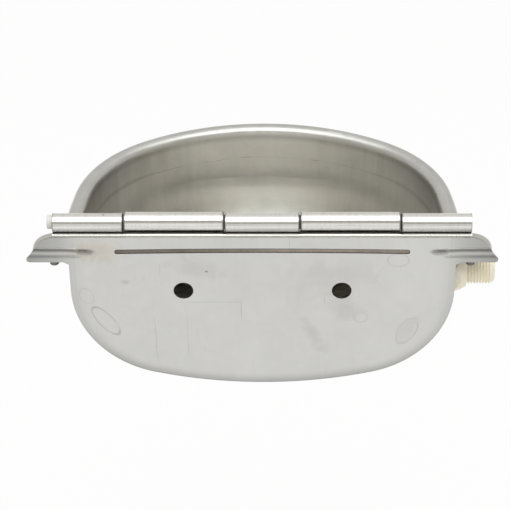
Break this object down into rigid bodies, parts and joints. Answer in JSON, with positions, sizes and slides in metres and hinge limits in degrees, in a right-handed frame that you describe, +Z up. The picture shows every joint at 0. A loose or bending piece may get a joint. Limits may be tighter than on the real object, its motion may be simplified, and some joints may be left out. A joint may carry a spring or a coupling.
{
  "type": "livestock drinking bowl",
  "caption": "Wall-hung steel drinking bowl for livestock, with a hinged cover over a float valve fed from a threaded side inlet.",
  "frame": {"origin": "midway between the two wall holes, on the outer face of the back plate that lies against the wall", "axes": "+X along the wall towards the water inlet, +Y away from the wall towards the animal, +Z up"},
  "size_m": [0.2839, 0.1515, 0.1239],
  "materials": {
    "stainless": "satin brushed sheet",
    "weld_steel": "heat-tinted weld",
    "nylon": "natural moulded nylon",
    "nylon_pin": "turned nylon",
    "brass": "turned",
    "rubber": "matt",
    "float_plastic": "moulded"
  },
  "bodies": {
    "bowl": {"bowl_body": "stainless", "back_plate": "stainless", "seam_weld": "weld_steel", "ear_studs": "stainless", "ear_washers": "stainless", "ear_nuts": "stainless", "hinge_leaf": "stainless", "fixed_knuckle_left": "stainless", "fixed_knuckle_middle": "stainless", "fixed_knuckle_right": "stainless", "knuckle_welds": "weld_steel", "hinge_pin": "nylon_pin", "valve_body": "nylon", "orifice_seat": "brass", "inner_gasket": "rubber", "outer_washer": "nylon", "inlet_locknut": "nylon", "pivot_pin": "stainless"},
    "cover": {"cover_knuckle_left": "stainless", "cover_knuckle_right": "stainless", "cover_panel": "stainless"},
    "float_lever": {"float_arm": "nylon", "float_locknut": "nylon", "float": "float_plastic"},
    "valve_plunger": {"plunger": "nylon_pin", "plunger_seal": "rubber"}
  },
  "joints": [
    {"name": "cover_hinge", "type": "hinge", "parent": "bowl", "child": "cover", "pos_m": [0, 0.0061, 0.0462], "axis": [1, 0, 0], "range_deg": [0, 135]},
    {"name": "float_pivot", "type": "hinge", "parent": "bowl", "child": "float_lever", "pos_m": [0.07694, 0.025, -0.008], "axis": [0, 1, 0], "range_deg": [0, 20]},
    {"name": "plunger_slide", "type": "slide", "parent": "bowl", "child": "valve_plunger", "axis": [1, 0, 0], "range_m": [0, 0.00279]}
  ],
  "couplings": [
    {"joint": "plunger_slide", "follows": "float_pivot", "m_per_rad": 0.008}
  ]
}
